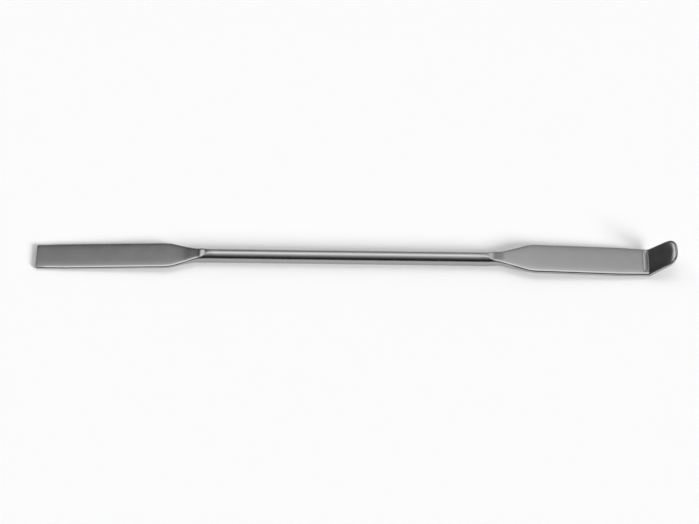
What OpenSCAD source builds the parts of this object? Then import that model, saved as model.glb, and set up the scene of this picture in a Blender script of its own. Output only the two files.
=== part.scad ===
// Double-ended laboratory spatula, forged in one piece from round steel rod: a round stem, a flat
// square-ended blade at -X, and at +X a flat blade whose rounded tip is bent upwards.
// It lies on the bench on its shoulders and on the lower edge of the square end. The origin is on the
// bench below the middle of the length, +X runs towards the bent tip and +Z is up. Sizes are in mm.

/* [Overall] */
// Length from the square end to the rounded tip
overall_length = 150; // [120:1:220]
// Diameter of the round stem
stem_diameter = 3.3; // [2.5:0.1:5]

/* [Square blade] */
// Length from the square end to the shoulder on the stem
square_length = 40; // [28:0.5:60]
// Width of the parallel part of the blade
square_width = 7.6; // [5:0.1:12]
// Thickness of the blade
square_thickness = 0.95; // [0.7:0.05:1.5]
// Thickness at the square end, where the blade is drawn thinner
square_end_thickness = 0.85; // [0.5:0.05:1.5]
// Width across the square end, where the sides draw in a little
square_end_width = 7.2; // [4.5:0.1:12]
// Length over which the sides draw in to the end
square_draw_in = 7; // [3:0.5:12]
// Corner radius of the square end, seen from above
square_corner = 0.45; // [0.2:0.05:1.5]
// Distance from the shoulder to where the neck starts to widen
square_neck_start = 3; // [0.5:0.1:4]
// Length over which the neck widens into the blade
square_neck_length = 6; // [4:0.1:12]

/* [Bent blade] */
// Length from the shoulder on the stem to the start of the bend
bent_length = 37.4; // [28:0.2:60]
// Width of the parallel part of the blade
bent_width = 8.5; // [5:0.1:12]
// Thickness of the blade and its tip
bent_thickness = 1.15; // [0.7:0.05:1.5]
// Width where the rounded end of the tip begins
tip_width = 7.7; // [4.5:0.1:12]
// Length of the tip past the bend, along its slope
tip_length = 7.4; // [6:0.1:14]
// Fullness of the rounded end: 2 is a half circle, more is squarer
tip_fullness = 2.7; // [2:0.1:4]
// Angle between the blade and its tip
bend_angle = 39; // [20:1:60]
// Inside radius of the bend
bend_radius = 1.3; // [1:0.05:6]
// Height of the blade's middle above the stem's axis where the neck ends
bent_rise = 0.33; // [0:0.01:0.5]
// Slope of the blade down from the neck to the bend, in degrees
bent_droop = 2; // [0:0.1:2.5]
// Distance from the shoulder to where the neck starts to widen
bent_neck_start = 3.3; // [0.5:0.1:4]
// Length over which the neck widens into the blade
bent_neck_length = 6.9; // [4:0.1:12]

/* [Forging] */
// Length of the hollow between the stem and each blade's flats
shoulder_run = 4.1; // [2.5:0.1:6]
// Radius of the rounded blade edges as a share of half the thickness
edge_share = 1.04; // [1.02:0.01:1.5]
// How far the corners of the neck are rounded off
neck_softness = 0.3; // [0.1:0.05:1]
// How far the forged shoulders stand proud of the stem
shoulder_proud = 0.02; // [0.015:0.005:0.1]

/* [Hidden] */
$fn = 96;
steel = [0.72, 0.72, 0.73];

// Steps of the lofted sections
edge_steps = 14;
neck_steps = 18;
bend_steps = 8;
tip_steps = 14;
corner_steps = 5;
// Last step of the rounded end, just short of a point
tip_last_angle = 88.6;
// Share of the shoulder's radius left as a narrow flat, so its section never closes to a point
collar_share = 0.995;
// Length of each shoulder's collar, and how far it laps over the end of the stem
collar_length = 0.3;
stem_lap = 0.2;
// Share of the blade, from the bend, over which the sides draw in to the tip
draw_in_share = 0.25;
// Share of the narrowing from the blade to its tip that is done at the bend
bend_narrowing = 0.6;
// Share of the neck over which its sides close to the rounded edge of the blade
side_share = 0.6;

stem_r = stem_diameter / 2;
collar_r = stem_r + shoulder_proud;
collar_half = collar_r * collar_share;
square_half = square_thickness / 2;
square_end_half = square_end_thickness / 2;
bent_half = bent_thickness / 2;

// The shoulders lie on the bench, so the stem's axis is half a collar above it
axis_height = collar_half;

// The square blade slopes from its hollow so that the lower edge of its end touches the bench
square_neck_end = square_neck_start + square_neck_length;
square_slope = (axis_height - square_end_half) / (square_length - shoulder_run);

// Middle line of the bent blade, from the shoulder: neck, start of the bend, centre of the bend, end of the bend
bent_neck_end = bent_neck_start + bent_neck_length;
bend_z = bent_rise - (bent_length - bent_neck_end) * tan(bent_droop);
bend_mid_r = bend_radius + bent_half;
bend_centre = [bent_length, bend_z] + bend_mid_r * [sin(bent_droop), cos(bent_droop)];
tip_slope = bend_angle - bent_droop;
tip_start = bend_centre + bend_mid_r * [sin(tip_slope), -cos(tip_slope)];
tip_round = tip_width / 2;
tip_edge_r = bent_half * edge_share;
bent_reach = tip_start[0] + (tip_length - tip_edge_r) * cos(tip_slope) + tip_edge_r;

// Where the two shoulders stand along the length
square_shoulder = square_length - overall_length / 2;
bent_shoulder = overall_length / 2 - bent_reach;

function mix(a, b, t) = a + (b - a) * t;
function smooth(t) = let (u = min(1, max(0, t))) u * u * (3 - 2 * u);
function soft_min(a, b, k) = (a + b - sqrt((a - b) * (a - b) + k * k)) / 2;
function soft_max(a, b, k) = (a + b + sqrt((a - b) * (a - b) + k * k)) / 2;

// Half the thickness at a distance from the shoulder: the hollow is an arc that meets the blade's flat
function hollow_half(x, half) =
    let (drop = collar_half - half)
    let (r = (shoulder_run * shoulder_run + drop * drop) / (2 * drop))
    x >= shoulder_run ? half : half + r - sqrt(r * r - pow(shoulder_run - x, 2));

// Half the width at a distance from the shoulder, for a neck that widens to a given half width
function neck_half(x, start, length, half) =
    let (line = mix(collar_r, half, (x - start) / length))
    x <= 0 ? collar_r : soft_min(half, soft_max(collar_r, line, neck_softness), neck_softness);

// Radius of the rounded sides, from the stem's own curve to the blade's rounded edge
function side_r(x, start, length, half) =
    mix(collar_r, half * edge_share, smooth((x - start) / (length * side_share)));

// How far a side of radius e has curved in at height z
function inset(e, z) = e - sqrt(max(0, e * e - z * z));

// A section: half width w, flats at +half and -half, sides of radius e. Past the start of a rounded end
// of length round it is narrowed as at the distance past.
function section(w, half, e, past = 0, round = 1) =
    let (room = round - past)
    let (top = room < inset(e, half) ? sqrt(e * e - pow(e - room, 2)) : half)
    let (sweep = asin(half / e))
    let (side = [for (k = [0:edge_steps])
        let (z = top * sin(sweep * (2 * k / edge_steps - 1)) / sin(sweep))
        let (d = inset(e, z))
        [(w - d) * pow(max(0, 1 - pow(past / (round - d), tip_fullness)), 1 / tip_fullness), z]])
    concat(side, [for (k = [edge_steps:-1:0]) [-side[k][0], side[k][1]]]);

// The section set upright at a point of the middle line, then leaned back by its slope
function ring(at, slope, flat) =
    [for (p = flat) [at[0] - p[1] * sin(slope), p[0], at[1] + p[1] * cos(slope)]];

// Rings of a neck, from the collar on the stem to the blade's full width
function neck_rings(start, length, width, half, rise, slope) =
    let (end = start + length)
    concat(
        [ring([-collar_length, 0], 0, section(collar_r, collar_half, collar_r))],
        [for (i = [0:neck_steps])
            let (x = end * i / neck_steps)
            ring([x, rise * smooth(x / end) - slope * max(0, x - shoulder_run)], 0,
                section(neck_half(x, start, length, width / 2), hollow_half(x, half),
                    side_r(x, start, length, half)))]);

// Rings of the square blade, past its neck
function square_rings() =
    let (draw_x = square_length - square_draw_in)
    let (corner_x = square_length - square_corner)
    concat(
        [for (x = [mix(square_neck_end, draw_x, draw_in_share), draw_x])
            square_ring(x, square_width / 2)],
        [for (i = [0:corner_steps])
            let (angle = 90 * i / corner_steps)
            square_ring(corner_x + square_corner * sin(angle),
                square_end_width / 2 - square_corner * (1 - cos(angle)))]);
function square_ring(x, w) =
    let (along = x - square_neck_end)
    let (half = mix(square_half, square_end_half, along / (square_length - square_neck_end)))
    ring([x, -square_slope * (x - shoulder_run)], 0, section(w, half, half * edge_share));

// Rings of the bent blade past its neck: the flat, the bend and the rounded tip
function bent_rings() =
    let (draw_x = mix(bent_length, bent_neck_end, draw_in_share))
    let (bend_half = mix(bent_width, tip_width, bend_narrowing) / 2)
    concat(
        [for (x = [mix(bent_neck_end, draw_x, draw_in_share), draw_x])
            ring([x, bent_rise - (x - bent_neck_end) * tan(bent_droop)], -bent_droop,
                section(bent_width / 2, bent_half, tip_edge_r))],
        [for (i = [0:bend_steps])
            let (slope = mix(-bent_droop, tip_slope, i / bend_steps))
            ring(bend_centre + bend_mid_r * [sin(slope), -cos(slope)], slope,
                section(bend_half, bent_half, tip_edge_r))],
        [for (i = [0:tip_steps])
            let (past = tip_round * pow(sin(tip_last_angle * i / tip_steps), 2 / tip_fullness))
            ring(tip_start + (tip_length - tip_round + past) * [cos(tip_slope), sin(tip_slope)], tip_slope,
                section(tip_width / 2, bent_half, tip_edge_r, past, tip_round))]);

// A closed skin over a row of rings with the same number of points
module loft(rings) {
    n = len(rings[0]);
    last = len(rings) - 1;
    polyhedron(
        points = [for (r = rings) each r],
        faces = concat(
            [[for (k = [0:n - 1]) k]],
            [for (i = [0:last - 1], k = [0:n - 1])
                let (a = i * n + k, b = i * n + (k + 1) % n)
                each [[a, a + n, b + n], [a, b + n, b]]],
            [[for (k = [n - 1:-1:0]) last * n + k]]));
}

module stem() {
    translate([square_shoulder + collar_length - stem_lap, 0, axis_height])
        rotate([0, 90, 0])
            cylinder(r = stem_r, h = bent_shoulder - square_shoulder - 2 * (collar_length - stem_lap));
}

module square_blade() {
    translate([square_shoulder, 0, axis_height])
        mirror([1, 0, 0])
            loft(concat(
                neck_rings(square_neck_start, square_neck_length, square_width, square_half, 0, square_slope),
                square_rings()));
}

module bent_blade() {
    translate([bent_shoulder, 0, axis_height])
        loft(concat(
            neck_rings(bent_neck_start, bent_neck_length, bent_width, bent_half, bent_rise, 0),
            bent_rings()));
}

module spatula() {
    color(steel) {
        stem();
        square_blade();
        bent_blade();
    }
}

spatula();
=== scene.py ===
"""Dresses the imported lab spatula: one forged skin of satin steel on a white studio table."""
import math

import bmesh
import bpy
from mathutils import Matrix, Vector


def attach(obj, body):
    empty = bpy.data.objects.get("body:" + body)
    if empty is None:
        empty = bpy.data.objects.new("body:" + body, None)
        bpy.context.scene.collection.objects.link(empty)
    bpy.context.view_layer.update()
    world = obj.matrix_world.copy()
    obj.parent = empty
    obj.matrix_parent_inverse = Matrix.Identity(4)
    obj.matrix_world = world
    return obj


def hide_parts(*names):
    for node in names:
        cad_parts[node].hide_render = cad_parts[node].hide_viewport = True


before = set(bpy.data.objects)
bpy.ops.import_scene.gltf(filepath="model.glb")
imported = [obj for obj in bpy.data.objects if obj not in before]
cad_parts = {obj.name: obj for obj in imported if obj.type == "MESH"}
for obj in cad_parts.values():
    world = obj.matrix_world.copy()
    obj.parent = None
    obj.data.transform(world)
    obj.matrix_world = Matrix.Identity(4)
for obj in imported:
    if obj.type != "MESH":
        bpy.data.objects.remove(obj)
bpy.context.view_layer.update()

MM = 0.001

# Sizes in mm, as in the part's source, apart from the start of the square end's neck and the sharper bend.
# In the names, HALF is half a thickness and HALF_W half a width
LENGTH = 150.0
STEM_R = 1.65
# How far the shoulders stand proud of the stem, and the share of their radius that leaves a narrow flat
PROUD = 0.02
COLLAR_SHARE = 0.995
COLLAR_R = STEM_R + PROUD
COLLAR_HALF = COLLAR_R * COLLAR_SHARE
# The shoulders lie on the table, so this is the height of the stem's axis
AXIS_Z = COLLAR_HALF
# Length of the hollow between a shoulder and the flats of its blade
HOLLOW_RUN = 4.1
# Radius of a blade's rounded sides, as a share of half its thickness
EDGE_SHARE = 1.04
# How far the corners of a neck's outline are rounded off
NECK_SOFTNESS = 0.3
# Share of a neck over which its sides close to the rounded sides of the blade
SIDE_SHARE = 0.6

# Square blade, from its shoulder to its end. A neck is (where it starts to widen, over which length), and
# SQUARE_DRAW_IN is the length over which the sides draw in to the end
SQUARE_LENGTH = 40.0
SQUARE_HALF_W = 3.8
SQUARE_HALF = 0.475
SQUARE_END_HALF_W = 3.6
SQUARE_END_HALF = 0.425
SQUARE_DRAW_IN = 7.0
SQUARE_CORNER = 0.45
SQUARE_NECK = (2.6, 6.0)
SQUARE_NECK_END = sum(SQUARE_NECK)
SQUARE_DRAW_X = SQUARE_LENGTH - SQUARE_DRAW_IN
SQUARE_CORNER_X = SQUARE_LENGTH - SQUARE_CORNER
SQUARE_FACE_HALF_W = SQUARE_END_HALF_W - SQUARE_CORNER
SQUARE_END_SIDE = SQUARE_END_HALF * EDGE_SHARE
# The blade slopes from its hollow so that the lower edge of its end touches the table
SQUARE_SLOPE = (AXIS_Z - SQUARE_END_HALF) / (SQUARE_LENGTH - HOLLOW_RUN)

# Bent blade, up to its bend
BENT_HALF_W = 4.25
BENT_HALF = 0.575
BENT_SIDE = BENT_HALF * EDGE_SHARE
BENT_NECK = (3.3, 6.9)
BENT_NECK_END = sum(BENT_NECK)
# Height of the blade's middle above the stem's axis where the neck ends, and its slope down from there
BENT_RISE = 0.33
DROOP = math.radians(2)
# Share of the blade, from the bend, over which its sides draw in, and how much of the narrowing to the tip's
# width is done there
DRAW_SHARE = 0.25
BEND_NARROWING = 0.6

# Bend and tip. The inside radius is smaller than the solid's, and the outline keeps the place of its corner
BEND = math.radians(39)
SOLID_BEND_R = 1.3
SOLID_BENT_LENGTH = 37.4
SOLID_TIP_LENGTH = 7.4
BEND_R = 0.4
CREASE_SHIFT = (SOLID_BEND_R - BEND_R) * math.tan(BEND / 2)
BENT_LENGTH = SOLID_BENT_LENGTH + CREASE_SHIFT
TIP_LENGTH = SOLID_TIP_LENGTH + CREASE_SHIFT
TIP_HALF_W = 3.85
# Fullness of the rounded end: 2 is a half circle, more is squarer
TIP_FULLNESS = 2.7

# Middle line of the bent blade, from the shoulder: centre of the bend, start of the tip, reach of the tip
BEND_MID_R = BEND_R + BENT_HALF
BEND_ARC = BEND_MID_R * BEND
BEND_START_Z = BENT_RISE - (BENT_LENGTH - BENT_NECK_END) * math.tan(DROOP)
BEND_CENTRE_X = BENT_LENGTH + BEND_MID_R * math.sin(DROOP)
BEND_CENTRE_Z = BEND_START_Z + BEND_MID_R * math.cos(DROOP)
TIP_SLOPE = BEND - DROOP
TIP_X = BEND_CENTRE_X + BEND_MID_R * math.sin(TIP_SLOPE)
TIP_Z = BEND_CENTRE_Z - BEND_MID_R * math.cos(TIP_SLOPE)
BENT_REACH = TIP_X + (TIP_LENGTH - BENT_SIDE) * math.cos(TIP_SLOPE) + BENT_SIDE

# Where the two shoulders stand along the length
SQUARE_SHOULDER = SQUARE_LENGTH - LENGTH / 2
BENT_SHOULDER = LENGTH / 2 - BENT_REACH

# Finish of the forging, in mm, which is finer than the solid's.
# Crown of the flats, as slopes at their edges: one curve bends only near the edges, the other evenly
CROWN_EDGE = math.tan(math.radians(3.0))
CROWN_POWER = 6
CROWN_ALL = math.tan(math.radians(0.6))

# Edges, from the flat: a roll down, (radius, tilt), a rounded rim, then the side.
# The roll fades out before the corners of the square end
ROLL = (1.3, math.radians(21))
TIP_ROLL = (3.0, math.radians(16))
NO_ROLL = (0.0, 0.0)
ROLL_FADE = 2.5
# Rims are rounder at the shoulders, and the face of the square end has sharper ones and a flatter side
RIM_R = 0.22
NECK_RIM_R = 0.4
NECK_RIM_START = 1.0
NECK_RIM_RUN = 6.0
END_RIM_R = 0.13
END_SIDE_R = 2.5
# A rim takes at most RIM_SHARE of the flat's height. Where it would turn less than LEAST_TURN into the side,
# the roll's tilt is multiplied by TILT_CUT again and again, down to LEAST_TILT. Both are in radians
RIM_SHARE = 0.8
LEAST_TURN = 0.1
LEAST_TILT = 0.01
TILT_CUT = 0.95

# Shoulders: length of their blend into the stem, and the share of its radius that leaves a hairline flat
BLEND = 1.2
STEM_SHARE = 0.9995
# Softness of the rim where a hollow starts, and of the turn where a blade starts to slope
HOLLOW_RIM = 0.15
SLOPE_SOFT = 1.0

# Square end's hollows: a steep line, (where it leaves the shoulder, slope), a gentle one, (where it meets
# the flat, slope), and how softly they join each other and the flat
SQUARE_STEEP = (0.12, 0.44)
SQUARE_GENTLE = (5.2, 0.135)
SQUARE_SOFT = 0.12
SQUARE_FLAT_SOFT = 0.18

# Bent end's upper hollow, made in the same way. The gentle line meets the flat at BENT_TOP, (where, height)
BENT_TOP = (4.0, 0.91)
BENT_STEEP = (0.3, 0.36)
BENT_GENTLE = 0.115
BENT_SOFT = 0.13
BENT_FLAT_SOFT = 0.06
# Length past the shoulder over which the section takes up its upper and lower lines
BENT_LEVEL = 0.5
# Length past the neck over which the blade's sections take up its slope
DROOP_RUN = 4.0

# Bent end's lower hollow: an arc that starts past the shoulder and runs out softly
ARC_START = 0.1
ARC_FADE = 1.5

# Groove across the upper flat: depth, half width, how far before the bend it runs, and how near to the sides
# it keeps its depth. GROOVE_REACH is the length before the bend that has fine steps for it
GROOVE = 0.115
GROOVE_HALF_W = 0.38
GROOVE_BACK = 0.46
GROOVE_POWER = 8
GROOVE_REACH = 1.5

# Steps of the skin. COLUMNS are shares of a flat's half width, and a leg is (where it ends, steps)
COLUMNS = (0.0, 0.25, 0.5, 0.68, 0.82, 0.92, 0.975)
ROLL_STEPS = 6
RIM_STEPS = 6
SIDE_STEPS = 14
NECK_LEGS = ((-0.3, 4), (0.6, 12), (HOLLOW_RUN, 18))
NECK_STEPS = 24
BLADE_STEPS = 16
SQUARE_DRAW_STEPS = 10
CORNER_STEPS = 5
BENT_DRAW_STEPS = 12
GROOVE_STEPS = 30
BEND_STEPS = 20
TIP_STEPS = 8
TIP_ROUND_STEPS = 26
STEM_STEPS = 30
STEM_COLUMNS = 72
# Gap between the stem's own rings and the first ring of each end
STEM_GAP = 0.3
# Two points are one if their mm agree to so many decimals
POINT_DECIMALS = 5

# Steel: tone and roughness go between two values as a noise goes through NOISE_RANGE. Scales are per metre
DARK_TONE = (0.372, 0.374, 0.378, 1)
LIGHT_TONE = (0.392, 0.393, 0.396, 1)
ROUGHNESS = (0.19, 0.22)
HAIRLINE_ROUGHNESS = (-0.02, 0.02)
NOISE_RANGE = (0.3, 0.7)
GRAIN_SCALE = 3200.0
MOTTLE_SCALE = 420.0
HAIRLINE_SCALE = (160.0, 5200.0, 5200.0)
GRAIN_SHARE = 0.7
HAIRLINE_SHARE = 0.3
GRAIN_DEPTH_M = 0.000006

# Table: a plain white plane, almost without gloss
TABLE_SIZE_M = 12.0
TABLE_COLOUR = (0.93, 0.93, 0.93, 1)
TABLE_ROUGHNESS = 0.9
TABLE_SPECULAR = 0.1

# Studio. A direction has a place along X, from -1 to 1, and a turn in degrees about X: 0 is the front
# horizon, 90 straight up and 180 the back horizon. A light fades in over its rise and out over its fall
AMBIENT = 0.025
# Soft box overhead. To both sides it fades in two steps, (from, to, share left)
OVERHEAD = 2.0
OVERHEAD_RISE = (20, 102)
OVERHEAD_RISE_POWER = 2.2
OVERHEAD_FALL = (98, 146)
OVERHEAD_SIDES = ((0.15, 0.35, 0.3), (0.5, 0.75, 0.2))
# Upright strips at the sides: level, rise and fall along X, rise and fall of the turn
LEFT_STRIP = (1.9, (-0.67, -0.59), (-0.55, -0.44), (85, 105), (147, 163))
RIGHT_STRIP = (0.95, (0.24, 0.48), (0.6, 0.75), (85, 105), (158, 172))
# Soft box behind, on the right. Along X it has a rise, then a step down, (from, to, share left)
BEHIND = 0.5
BEHIND_RISE = (112, 128)
BEHIND_FALL = (132, 156)
BEHIND_X_RISE = (-0.04, 0.0)
BEHIND_X_STEP = (0.1, 0.17, 0.2)
# Key lamp from the front right: the way to it, its strength and its width in degrees
KEY_TOWARD = (0.70, -0.60, 0.38)
KEY_ENERGY = 4.1
KEY_ANGLE = 20
# Round lights: the way to them, angles in degrees at which they are full and gone, level.
# The glow is what mirrors show of the key lamp
BACKDROP = ((0.25, 0.95, 0.1), 10, 42, 0.5)
KEY_GLOW = (KEY_TOWARD, 6, 16, 1.5)

# Camera: width of the image and focal length in pixels, sensor and distance in mm, degrees down and roll in
# radians. The aim is AIM_PIXELS, (right, up), from the point that is AIM_Z above the origin
IMAGE_WIDTH = 699
FOCAL_PIXELS = 4000
SENSOR_WIDTH = 36
CAMERA_DISTANCE = 936.15
CAMERA_DOWN = 48
CAMERA_ROLL = 0.0127
AIM_Z = 1.65
AIM_PIXELS = (-6.87, -4.63)


def lerp(a, b, t):
    return a + (b - a) * t


def smooth(t):
    """Eases from 0 to 1 as t does, and holds there."""
    t = min(1.0, max(0.0, t))
    return t * t * (3 - 2 * t)


def soft_min(a, b, k):
    """The smaller value, with the corner where the two cross rounded by k."""
    return (a + b - math.sqrt((a - b) ** 2 + k * k)) / 2


def soft_max(a, b, k):
    """The larger value, with the corner where the two cross rounded by k."""
    return (a + b + math.sqrt((a - b) ** 2 + k * k)) / 2


def spread(a, b, n):
    """n steps from a to b, without a."""
    return [lerp(a, b, i / n) for i in range(1, n + 1)]


def stations(start, *legs):
    """Places from start on, through legs of (end, steps)."""
    places = [start]
    for end, steps in legs:
        places += spread(start, end, steps)
        start = end
    return places


def shoulder_share(x):
    """0 where the stem starts to blend into a shoulder, 1 from the shoulder on."""
    return smooth((x + BLEND) / BLEND)


def collar_r(x):
    """Radius of the round section, from the stem to the shoulder."""
    return STEM_R + PROUD * shoulder_share(x)


def round_half(x):
    """Half thickness of the round section, with the narrow flat that keeps it open."""
    return collar_r(x) * lerp(STEM_SHARE, COLLAR_SHARE, shoulder_share(x))


def hollowed(x, half):
    """Half thickness at x from the shoulder, with a softened rim where a hollow leaves the round section."""
    return soft_min(round_half(x), half, HOLLOW_RIM * shoulder_share(x))


def neck_half_w(x, neck, half_w):
    """Half width at x from the shoulder, for a neck that widens to half_w."""
    if x <= 0:
        return collar_r(x)
    line = lerp(COLLAR_R, half_w, (x - neck[0]) / neck[1])
    return soft_min(half_w, soft_max(COLLAR_R, line, NECK_SOFTNESS), NECK_SOFTNESS)


def neck_side_r(x, neck, blade_half, half):
    """Radius of a neck's sides: from the stem's curve to the blade's edge, and no less than half needs."""
    closed = smooth((x - neck[0]) / (neck[1] * SIDE_SHARE))
    return max(lerp(collar_r(x), blade_half * EDGE_SHARE, closed), half * EDGE_SHARE)


def rim_r(x):
    """Rounding of the rims: fullest at the shoulder, then down to the blade's own."""
    return lerp(NECK_RIM_R, RIM_R, smooth((x - NECK_RIM_START) / NECK_RIM_RUN))


def crown(half_w, t=0.0):
    """Height of a crowned flat above its edge, at a share t of its half width."""
    return half_w * (CROWN_EDGE * (1 - t ** CROWN_POWER) / CROWN_POWER + CROWN_ALL * (1 - t * t) / 2)


def edge_profile(flat_half_w, half, side, rim, roll):
    """(inset, height) round an edge, from the upper flat to the lower one.

    Roll, rim, side, rim and roll follow each other, all tangent. half is half the thickness in the middle of
    the flat, side and rim are radii, and roll is (radius, tilt).
    """
    flat_z = half - crown(flat_half_w)
    rim = min(rim, RIM_SHARE * flat_z)
    roll_r, tilt = roll
    while True:
        lean = min(math.atan(CROWN_EDGE + CROWN_ALL), tilt)
        rim_z = flat_z - roll_r * (math.cos(lean) - math.cos(tilt)) - rim * math.cos(tilt)
        rim_out = math.sqrt(max(0.0, (side - rim) ** 2 - rim_z * rim_z))
        meet = math.atan2(rim_z, rim_out)
        if tilt + meet < math.pi / 2 - LEAST_TURN or tilt < LEAST_TILT:
            break
        tilt *= TILT_CUT
    rim_inset = side - rim_out
    roll_end = rim_inset - rim * math.sin(tilt)
    upper = []
    for k in range(ROLL_STEPS):
        a = lerp(lean, tilt, k / ROLL_STEPS)
        inset = roll_end + roll_r * (math.sin(tilt) - math.sin(a))
        upper.append((inset, flat_z - roll_r * (math.cos(lean) - math.cos(a))))
    for k in range(RIM_STEPS + 1):
        a = lerp(math.pi / 2 - tilt, meet, k / RIM_STEPS)
        upper.append((rim_inset - rim * math.cos(a), rim_z + rim * math.sin(a)))
    middle = []
    for k in range(1, SIDE_STEPS):
        a = lerp(meet, -meet, k / SIDE_STEPS)
        middle.append((side - side * math.cos(a), side * math.sin(a)))
    return upper + middle + [(inset, -z) for inset, z in reversed(upper)]


class Skin:
    """Vertices and faces of the whole spatula, with points in the same place kept as one."""

    def __init__(self):
        self.bm = bmesh.new()
        self.seen = {}

    def point(self, p):
        key = tuple(round(c, POINT_DECIMALS) for c in p)
        if key not in self.seen:
            self.seen[key] = self.bm.verts.new([c * MM for c in p])
        return self.seen[key]

    def points(self, places):
        return [self.point(p) for p in places]

    def face(self, verts):
        """A face of the vertices that differ from the one before. What closes to a line is left out."""
        ring = [v for i, v in enumerate(verts) if v is not verts[i - 1]]
        if len(set(ring)) == len(ring) > 2:
            self.bm.faces.new(ring)

    def loft(self, rows, closed=True):
        """Faces between rows of the same count."""
        for a, b in zip(rows, rows[1:]):
            for i in range(0 if closed else 1, len(a)):
                self.face([a[i - 1], a[i], b[i], b[i - 1]])

    def bridge(self, a, b):
        """Joins two closed rings with different counts, both in falling order of angle from the top."""
        def turns(ring):
            angles = [math.atan2(v.co.z - AXIS_Z * MM, v.co.y) for v in ring]
            return [0.0] + [(math.pi / 2 - t) % (2 * math.pi) for t in angles[1:]] + [2 * math.pi]

        turns_a, turns_b = turns(a), turns(b)
        i = j = 0
        while i < len(a) or j < len(b):
            from_a, from_b = a[i % len(a)], b[j % len(b)]
            if j == len(b) or (i < len(a) and turns_a[i + 1] <= turns_b[j + 1]):
                i += 1
                self.face([from_a, a[i % len(a)], from_b])
            else:
                j += 1
                self.face([from_a, b[j % len(b)], from_b])


def ring_points(place, at, flat_half_w, half, side, rim, roll=ROLL, inward=(0.0, -1.0), dip=0.0):
    """A closed ring from the top middle: upper flat, edge at +Y, lower flat, edge at -Y, upper flat.

    at is (along, half width) of the outline, inward points into the blade from there, and dip is how far the
    upper flat lies below its crown. place turns (along, y, z) into a point of the part.
    """
    profile = edge_profile(flat_half_w, half, side, rim, roll)
    edge = [(at[0] + d * inward[0], at[1] + d * inward[1], z) for d, z in profile]
    along, y_end, z_end = edge[0]

    def height(t):
        return z_end + crown(max(0.0, y_end), t)

    upper = [(along, t * y_end, height(t) - dip * (1 - t ** GROOVE_POWER)) for t in COLUMNS]
    lower = [(along, t * y_end, -height(t)) for t in COLUMNS]
    right = upper + edge + lower[::-1]
    left = [(s, -y, z) for s, y, z in right[::-1]]
    return [place(*p) for p in right + left[1:-1]]


def square_half(x):
    """Half thickness of the square end's neck at x: a short steep fall, then a long gentle one."""
    steep = COLLAR_HALF - SQUARE_STEEP[1] * (x - SQUARE_STEEP[0])
    gentle = SQUARE_HALF + SQUARE_GENTLE[1] * (SQUARE_GENTLE[0] - x)
    half = soft_max(SQUARE_HALF, soft_max(steep, gentle, SQUARE_SOFT), SQUARE_FLAT_SOFT)
    half = lerp(half, SQUARE_HALF, smooth((x - HOLLOW_RUN) / (SQUARE_NECK_END - HOLLOW_RUN)))
    return hollowed(x, half)


def square_place(x, y, z):
    """Point of the part at x from the square end's shoulder, at y and z from the blade's middle."""
    drop = SQUARE_SLOPE * soft_max(0.0, x - HOLLOW_RUN, SLOPE_SOFT) * smooth(x / HOLLOW_RUN)
    return (SQUARE_SHOULDER - x, y, AXIS_Z - drop + z)


def square_ring(x):
    """Ring of the square end at x from its shoulder, up to its corners."""
    if x <= SQUARE_NECK_END:
        half_w, half = neck_half_w(x, SQUARE_NECK, SQUARE_HALF_W), square_half(x)
        side = neck_side_r(x, SQUARE_NECK, SQUARE_HALF, half)
    else:
        drawn = max(0.0, x - SQUARE_DRAW_X) / (SQUARE_CORNER_X - SQUARE_DRAW_X)
        half_w = lerp(SQUARE_HALF_W, SQUARE_END_HALF_W, drawn)
        thinned = (x - SQUARE_NECK_END) / (SQUARE_LENGTH - SQUARE_NECK_END)
        half = lerp(SQUARE_HALF, SQUARE_END_HALF, thinned)
        side = half * EDGE_SHARE
    roll = (ROLL[0], ROLL[1] * smooth((SQUARE_CORNER_X - x) / ROLL_FADE))
    return ring_points(square_place, (x, half_w), max(0.0, half_w - side), half, side, rim_r(x), roll)


def square_corner(share):
    """Edge at +Y, at a share of its turn round the corner of the square end."""
    a = share * math.pi / 2
    ease = smooth(share)
    side = 1 / lerp(1 / SQUARE_END_SIDE, 1 / END_SIDE_R, ease)
    rim = lerp(RIM_R, END_RIM_R, ease)
    edge = []
    for d, z in edge_profile(SQUARE_END_HALF_W - SQUARE_END_SIDE, SQUARE_END_HALF, side, rim, NO_ROLL):
        r = SQUARE_CORNER - d
        edge.append((SQUARE_CORNER_X + r * math.sin(a), SQUARE_FACE_HALF_W + r * math.cos(a), z))
    return edge


def square_end(skin, ring):
    """Both corners of the square end, the face between them and the end of the flats, past the last ring.

    Rings start at the top middle, so ring[-i] is the mirror image of ring[i].
    """
    count = len(COLUMNS)
    bottom = len(ring) // 2
    corners = [square_corner(s) for s in spread(0.0, 1.0, CORNER_STEPS)]
    right = [skin.points(square_place(*p) for p in edge) for edge in corners]
    left = [skin.points(square_place(x, -y, z) for x, y, z in edge) for edge in corners]
    skin.loft([ring[count:bottom - count + 1]] + right, closed=False)
    skin.loft([ring[-count:bottom + count - 1:-1]] + left, closed=False)

    face = [right[-1]]
    for t in COLUMNS[::-1] + tuple(-t for t in COLUMNS[1:]):
        y = SQUARE_FACE_HALF_W * t
        rise = crown(SQUARE_FACE_HALF_W, t) / SQUARE_END_HALF
        face.append(skin.points(square_place(x, y, z + rise * z) for x, _, z in corners[-1]))
    face.append(left[-1])
    skin.loft(face, closed=False)

    upper = [ring[i] for i in range(count, -count - 1, -1)]
    lower = ring[bottom - count:bottom + count + 1]
    for flat, k in ((upper, 0), (lower, -1)):
        row = [column[k] for column in face]
        for i in range(1, len(flat)):
            left_turn = [edge[k] for edge in left[:-1]] if i == len(flat) - 1 else []
            right_turn = [edge[k] for edge in right[-2::-1]] if i == 1 else []
            skin.face([flat[i - 1], flat[i]] + left_turn + [row[i], row[i - 1]] + right_turn)


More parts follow.
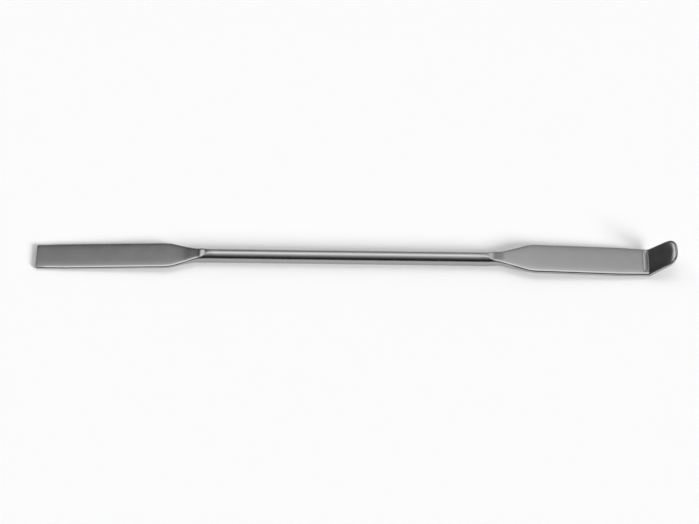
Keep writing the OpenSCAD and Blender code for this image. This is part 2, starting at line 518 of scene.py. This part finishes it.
def square_blade(skin):
    """The square end with its neck. Returns its ring at the stem."""
    places = stations(-BLEND, *NECK_LEGS, (SQUARE_NECK_END, NECK_STEPS), (SQUARE_DRAW_X, BLADE_STEPS),
                      (SQUARE_CORNER_X, SQUARE_DRAW_STEPS))
    rings = [skin.points(square_ring(x)) for x in places]
    skin.loft(rings)
    square_end(skin, rings[-1])
    return rings[0]


def bent_upper(s):
    """Height of the upper flat above the stem's axis, at s from the bent end's shoulder, up to the bend."""
    top_x, top_z = BENT_TOP
    ease = (top_z - BENT_HALF - BENT_RISE) / (BENT_NECK_END - top_x)
    past_neck = soft_max(0.0, s - BENT_NECK_END, SLOPE_SOFT)
    steep = COLLAR_HALF - BENT_STEEP[1] * (s - BENT_STEEP[0])
    gentle = top_z + BENT_GENTLE * (top_x - s)
    flat = top_z - ease * (s - top_x) - (math.tan(DROOP) - ease) * past_neck
    top = soft_max(flat, soft_max(steep, gentle, BENT_SOFT), BENT_FLAT_SOFT)
    return soft_min(COLLAR_HALF, top, BENT_FLAT_SOFT)


def bent_arc(s):
    """Half thickness at s from the bent end's shoulder, by the arc of its lower hollow."""
    drop = COLLAR_HALF - BENT_HALF
    r = ((HOLLOW_RUN - ARC_START) ** 2 + drop ** 2) / (2 * drop)
    run = soft_max(0.0, HOLLOW_RUN - s, ARC_FADE)
    return hollowed(s, BENT_HALF + r - math.sqrt(max(0.0, r * r - run * run)))


def bent_section(s):
    """(height of the middle, half thickness) of the bent end at s from its shoulder, up to the bend.

    From an even section, the upper line goes up by lift and the lower one by rise.
    """
    half = bent_arc(s)
    level = smooth(s / BENT_LEVEL)
    past_neck = soft_max(0.0, s - BENT_NECK_END, SLOPE_SOFT)
    rise = level * (BENT_RISE * smooth(s / BENT_NECK_END) - math.tan(DROOP) * past_neck)
    lift = level * (bent_upper(s) - half)
    return (lift + rise) / 2, half + (lift - rise) / 2


def bent_line(s):
    """(x, z, slope) of the bent end's middle line at a length s from its shoulder."""
    if s < BENT_LENGTH:
        return s, bent_section(s)[0], -DROOP * smooth((s - BENT_NECK_END) / DROOP_RUN)
    turn = (s - BENT_LENGTH) / BEND_MID_R
    if turn < BEND:
        slope = turn - DROOP
        x = BEND_CENTRE_X + BEND_MID_R * math.sin(slope)
        return x, BEND_CENTRE_Z - BEND_MID_R * math.cos(slope), slope
    rest = s - BENT_LENGTH - BEND_ARC
    return TIP_X + rest * math.cos(TIP_SLOPE), TIP_Z + rest * math.sin(TIP_SLOPE), TIP_SLOPE


def bent_place(s, y, z):
    """Point of the part at s along the bent end's middle line, at y and z across it."""
    x, mid, slope = bent_line(s)
    return (BENT_SHOULDER + x - z * math.sin(slope), y, AXIS_Z + mid + z * math.cos(slope))


def tip_rings(start):
    """Rings round the rounded end of the tip, whose outline closes to a point of the middle line."""
    rings = []
    for a in spread(0.0, math.pi / 2, TIP_ROUND_STEPS):
        past = math.sin(a) ** (2 / TIP_FULLNESS)
        y = math.cos(a) ** (2 / TIP_FULLNESS) if past < 1 else 0.0
        inward = -Vector((past ** (TIP_FULLNESS - 1), y ** (TIP_FULLNESS - 1))).normalized()
        ease = smooth(past)
        roll = (lerp(ROLL[0], TIP_ROLL[0], ease), lerp(ROLL[1], TIP_ROLL[1], ease))
        at = (start + TIP_HALF_W * past, TIP_HALF_W * y)
        flat_half_w = TIP_HALF_W - BENT_SIDE
        rings.append(ring_points(bent_place, at, flat_half_w, BENT_HALF, BENT_SIDE, RIM_R, roll, inward))
    return rings


def bent_blade(skin):
    """The bent end with its neck and its tip. Returns its ring at the stem."""
    draw_s = lerp(BENT_LENGTH, BENT_NECK_END, DRAW_SHARE)
    groove_s = BENT_LENGTH - GROOVE_REACH
    bend_end = BENT_LENGTH + BEND_ARC
    round_start = bend_end + TIP_LENGTH - TIP_HALF_W
    bend_half_w = lerp(BENT_HALF_W, TIP_HALF_W, BEND_NARROWING)
    places = stations(-BLEND, *NECK_LEGS, (BENT_NECK_END, NECK_STEPS), (draw_s, BLADE_STEPS),
                      (groove_s, BENT_DRAW_STEPS), (BENT_LENGTH, GROOVE_STEPS), (bend_end, BEND_STEPS),
                      (round_start, TIP_STEPS))
    rings = []
    for s in places:
        half_w, half, side = BENT_HALF_W, BENT_HALF, BENT_SIDE
        if s <= BENT_NECK_END:
            half_w, half = neck_half_w(s, BENT_NECK, BENT_HALF_W), bent_section(s)[1]
            side = neck_side_r(s, BENT_NECK, BENT_HALF, half)
        elif s > bend_end:
            half_w = lerp(bend_half_w, TIP_HALF_W, (s - bend_end) / (round_start - bend_end))
        elif s > draw_s:
            half_w = lerp(BENT_HALF_W, bend_half_w, min(1.0, (s - draw_s) / (BENT_LENGTH - draw_s)))
        groove = GROOVE * math.exp(-((s - BENT_LENGTH + GROOVE_BACK) / GROOVE_HALF_W) ** 2)
        flat_half_w = max(0.0, half_w - side)
        rings.append(ring_points(bent_place, (s, half_w), flat_half_w, half, side, rim_r(s), dip=groove))
    rings += tip_rings(round_start)
    rings = [skin.points(ring) for ring in rings]
    skin.loft(rings)
    return rings[0]


def stem(skin, square_start, bent_start):
    """Evenly divided round rings of the stem, joined to both ends."""
    start = SQUARE_SHOULDER + BLEND + STEM_GAP
    end = BENT_SHOULDER - BLEND - STEM_GAP
    circle = []
    for k in range(STEM_COLUMNS):
        a = math.pi / 2 - 2 * math.pi * k / STEM_COLUMNS
        circle.append((STEM_R * math.cos(a), AXIS_Z + STEM_R * math.sin(a)))
    rings = [skin.points((x, y, z) for y, z in circle) for x in stations(start, (end, STEM_STEPS))]
    skin.loft(rings)
    skin.bridge(square_start, rings[0])
    skin.bridge(bent_start, rings[-1])


class Nodes:
    """Short calls for building a node tree."""

    def __init__(self, tree):
        self.tree = tree
        tree.nodes.clear()

    def add(self, kind, inputs=None, **settings):
        """A new node with its settings, and with inputs that are linked to sockets or set to values."""
        node = self.tree.nodes.new(kind)
        for name, value in settings.items():
            setattr(node, name, value)
        for name, value in (inputs or {}).items():
            if isinstance(value, bpy.types.NodeSocket):
                self.tree.links.new(value, node.inputs[name])
            else:
                node.inputs[name].default_value = value
        return node

    def calc(self, operation, a, b=0.0):
        return self.add("ShaderNodeMath", {0: a, 1: b}, operation=operation).outputs[0]

    def remap(self, value, source, target, kind="SMOOTHSTEP"):
        """value carried from the range source to the range target, and held at its ends."""
        inputs = {"Value": value, "From Min": source[0], "From Max": source[1], "To Min": target[0],
                  "To Max": target[1]}
        return self.add("ShaderNodeMapRange", inputs, interpolation_type=kind).outputs["Result"]

    def noise(self, vector, scale, detail, roughness):
        inputs = {"Vector": vector, "Scale": scale, "Detail": detail, "Roughness": roughness}
        return self.add("ShaderNodeTexNoise", inputs).outputs["Fac"]


def new_material(name):
    """A material and its empty node tree."""
    material = bpy.data.materials.new(name)
    material.use_nodes = True
    return material, Nodes(material.node_tree)


def steel_material():
    """Satin stainless steel: fine tumbled grain, soft mottling and faint hairlines along the tool."""
    material, n = new_material("satin_steel")
    place = n.add("ShaderNodeTexCoord").outputs["Object"]
    along = n.add("ShaderNodeMapping", {"Vector": place, "Scale": HAIRLINE_SCALE}).outputs[0]
    grain = n.noise(place, GRAIN_SCALE, detail=2.0, roughness=0.55)
    mottle = n.noise(place, MOTTLE_SCALE, detail=3.0, roughness=0.6)
    hairlines = n.noise(along, 1.0, detail=2.0, roughness=0.6)

    tone = n.remap(mottle, NOISE_RANGE, (0.0, 1.0), "LINEAR")
    colour = n.add("ShaderNodeMix", {0: tone, 6: DARK_TONE, 7: LIGHT_TONE}, data_type="RGBA").outputs[2]
    rough = n.calc("ADD", n.remap(mottle, NOISE_RANGE, ROUGHNESS, "LINEAR"),
                   n.remap(hairlines, NOISE_RANGE, HAIRLINE_ROUGHNESS, "LINEAR"))
    height = n.calc("ADD", n.calc("MULTIPLY", grain, GRAIN_SHARE),
                    n.calc("MULTIPLY", hairlines, HAIRLINE_SHARE))
    bump = n.add("ShaderNodeBump", {"Height": height, "Strength": 1.0, "Distance": GRAIN_DEPTH_M}).outputs[0]
    shader = n.add("ShaderNodeBsdfPrincipled", {"Base Color": colour, "Roughness": rough, "Normal": bump,
                                                "Metallic": 1.0})
    n.add("ShaderNodeOutputMaterial", {"Surface": shader.outputs[0]})
    return material


def floor():
    """A plain white table top, matt, level with the origin."""
    bpy.ops.mesh.primitive_plane_add(size=TABLE_SIZE_M, location=(0, 0, 0))
    plane = bpy.context.object
    plane.name = "table"
    material, n = new_material("white_table")
    shader = n.add("ShaderNodeBsdfPrincipled", {"Base Color": TABLE_COLOUR, "Roughness": TABLE_ROUGHNESS,
                                                "Specular IOR Level": TABLE_SPECULAR})
    n.add("ShaderNodeOutputMaterial", {"Surface": shader.outputs[0]})
    plane.data.materials.append(material)


def radians(degrees):
    return [math.radians(d) for d in degrees]


def studio():
    """Soft boxes overhead and behind on the right, strips at the sides, a pale backdrop and a dark front."""
    world = bpy.data.worlds.new("studio")
    bpy.context.scene.world = world
    world.use_nodes = True
    n = Nodes(world.node_tree)
    direction = n.add("ShaderNodeTexCoord").outputs["Generated"]
    parts = n.add("ShaderNodeSeparateXYZ", {0: direction}).outputs
    x = parts["X"]
    turn = n.calc("ARCTAN2", parts["Z"], n.calc("MULTIPLY", parts["Y"], -1.0))

    def band(value, rise, fall, level=1.0):
        return n.calc("MULTIPLY", n.remap(value, rise, (0.0, level)), n.remap(value, fall, (1.0, 0.0)))

    def step(value, start, end, share):
        return n.remap(value, (start, end), (1.0, share))

    def strip(level, x_rise, x_fall, turn_rise, turn_fall):
        turned = band(turn, radians(turn_rise), radians(turn_fall))
        return n.calc("MULTIPLY", band(x, x_rise, x_fall, level), turned)

    def patch(toward, full, gone, level):
        inputs = {0: direction, 1: Vector(toward).normalized()}
        nearness = n.add("ShaderNodeVectorMath", inputs, operation="DOT_PRODUCT").outputs["Value"]
        return n.remap(nearness, [math.cos(a) for a in radians((gone, full))], (0.0, level))

    off_centre = n.calc("ABSOLUTE", x)
    across = n.calc("MULTIPLY", *[step(off_centre, *side) for side in OVERHEAD_SIDES])
    front = n.calc("POWER", n.remap(turn, radians(OVERHEAD_RISE), (0.0, 1.0), "LINEAR"), OVERHEAD_RISE_POWER)
    over = n.calc("MULTIPLY", front, n.remap(turn, radians(OVERHEAD_FALL), (OVERHEAD, 0.0)))
    over = n.calc("MULTIPLY", over, across)
    right = n.calc("MULTIPLY", n.remap(x, BEHIND_X_RISE, (0.0, 1.0)), step(x, *BEHIND_X_STEP))
    behind = n.calc("MULTIPLY", band(turn, radians(BEHIND_RISE), radians(BEHIND_FALL), BEHIND), right)
    strips = n.calc("ADD", strip(*LEFT_STRIP), strip(*RIGHT_STRIP))
    level = n.calc("ADD", n.calc("ADD", over, behind), n.calc("ADD", patch(*BACKDROP), AMBIENT))
    level = n.calc("ADD", level, n.calc("ADD", strips, patch(*KEY_GLOW)))
    back = n.add("ShaderNodeBackground", {"Color": (1, 1, 1, 1), "Strength": level})
    n.add("ShaderNodeOutputWorld", {"Surface": back.outputs[0]})


def key_lamp():
    """A broad lamp from the front right that lights the table and isn't mirrored in the steel."""
    lamp = bpy.data.lights.new("key", "SUN")
    lamp.energy = KEY_ENERGY
    lamp.angle = math.radians(KEY_ANGLE)
    key = bpy.data.objects.new("key", lamp)
    key.rotation_euler = Vector(KEY_TOWARD).to_track_quat("Z", "Y").to_euler()
    key.visible_glossy = False
    bpy.context.scene.collection.objects.link(key)


def camera():
    """Looks down from the -Y side with a long lens, rolled a little so that the stem falls to the right."""
    down = math.radians(CAMERA_DOWN)
    right = Vector((1, 0, 0))
    up = Vector((0, math.sin(down), math.cos(down)))
    back = Vector((0, -math.cos(down), math.sin(down)))
    shift = (right * AIM_PIXELS[0] + up * AIM_PIXELS[1]) * CAMERA_DISTANCE / FOCAL_PIXELS
    place = Vector((0, 0, AIM_Z)) + shift + back * CAMERA_DISTANCE
    turn = Matrix((right, up, back)).transposed().to_4x4()
    roll = Matrix.Rotation(CAMERA_ROLL, 4, "Z")
    data = bpy.data.cameras.new("camera")
    data.sensor_width = SENSOR_WIDTH
    data.lens = SENSOR_WIDTH * FOCAL_PIXELS / IMAGE_WIDTH
    obj = bpy.data.objects.new("camera", data)
    obj.matrix_world = Matrix.Translation(place * MM) @ turn @ roll
    bpy.context.scene.collection.objects.link(obj)
    bpy.context.scene.camera = obj


def spatula():
    """The skin of stem and ends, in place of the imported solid."""
    skin = Skin()
    stem(skin, square_blade(skin), bent_blade(skin))
    bmesh.ops.recalc_face_normals(skin.bm, faces=skin.bm.faces)
    mesh = bpy.data.meshes.new("forged_spatula")
    skin.bm.to_mesh(mesh)
    skin.bm.free()
    mesh.shade_smooth()
    mesh.materials.append(steel_material())
    obj = bpy.data.objects.new("forged_spatula", mesh)
    bpy.context.scene.collection.objects.link(obj)
    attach(obj, "root")
    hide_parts("spatula")


camera()
studio()
key_lamp()
floor()
spatula()
bpy.context.scene.view_settings.view_transform = "Standard"
